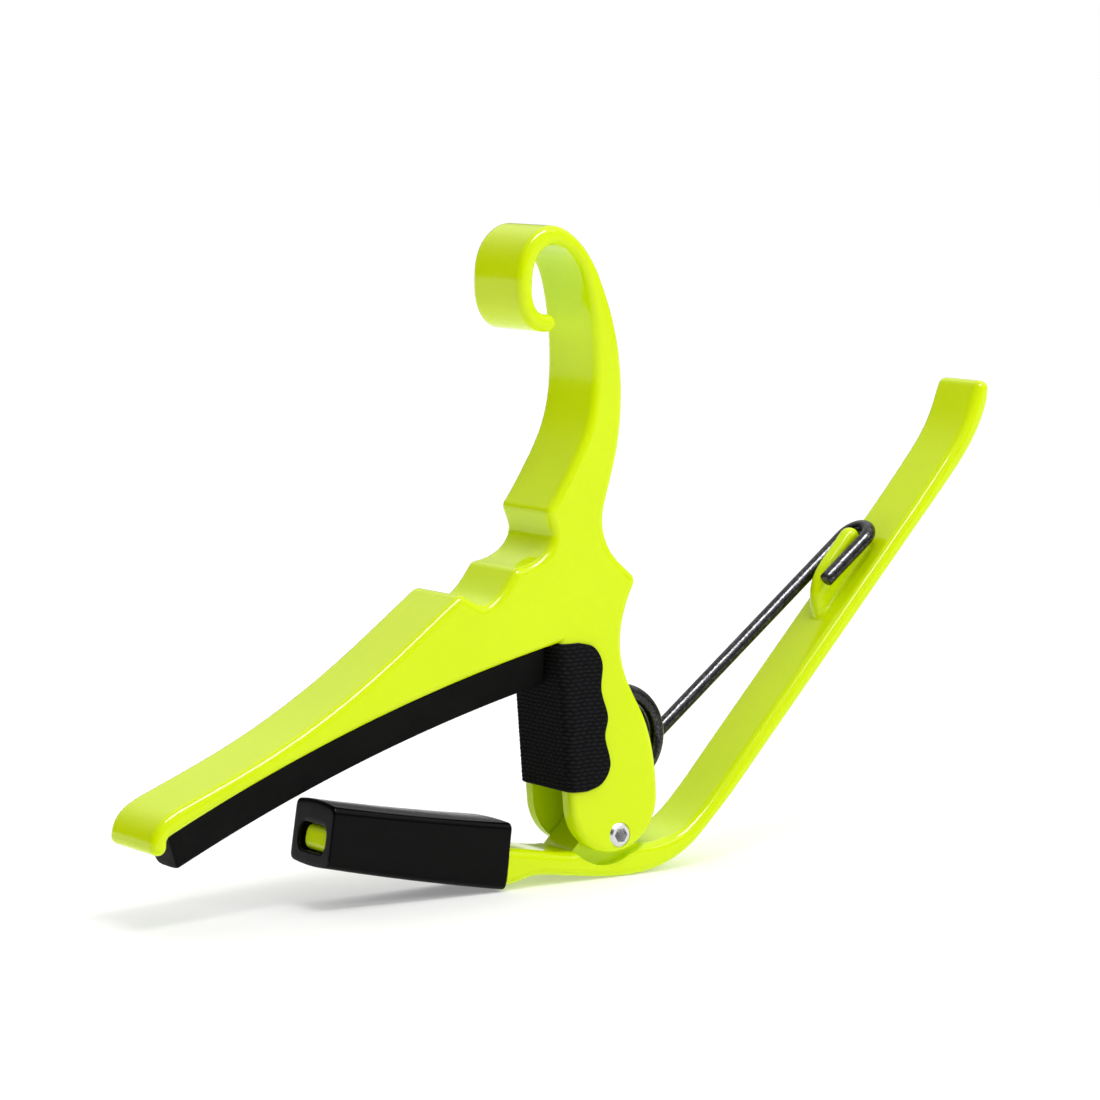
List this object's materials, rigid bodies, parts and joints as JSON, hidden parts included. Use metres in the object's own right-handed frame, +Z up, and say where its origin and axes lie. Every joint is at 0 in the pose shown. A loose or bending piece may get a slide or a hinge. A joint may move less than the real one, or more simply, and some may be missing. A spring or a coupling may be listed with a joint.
{
  "type": "guitar capo",
  "caption": "Spring clamp capo for a guitar neck: cast arm with string pad and curled squeeze handle, hinged lever with rubber-sleeved jaw, torsion spring.",
  "frame": {"origin": "middle of the bounding box's underside, on the surface that the capo stands on", "axes": "+X from the jaw tips towards the squeeze handles, +Y across the width to the side away from the pin's socket, +Z up from the lever to the finger curl"},
  "size_m": [0.1278, 0.0118, 0.0829],
  "materials": {
    "enamel": "glossy enamel on cast aluminium",
    "pad_rubber": "matte",
    "guard_fabric": "ribbed woven tape",
    "spring_steel": "black oxide",
    "pin_steel": "polished",
    "sleeve_rubber": "semi-gloss"
  },
  "bodies": {
    "lever": {"lever": "enamel", "jaw_sleeve": "sleeve_rubber"},
    "frame": {"upper_frame": "enamel", "string_pad": "pad_rubber", "neck_guard": "guard_fabric", "torsion_spring": "spring_steel", "hinge_barrel": "pin_steel", "hinge_screw": "pin_steel"}
  },
  "joints": [
    {"name": "lever_hinge", "type": "hinge", "parent": "lever", "child": "frame", "pos_m": [0.00313, 0, 0.0057], "axis": [0, 1, 0], "range_deg": [0, 30], "stiffness_Nm_per_rad": 1.15, "springref_deg": -20.05, "deforming": ["torsion_spring"]}
  ]
}
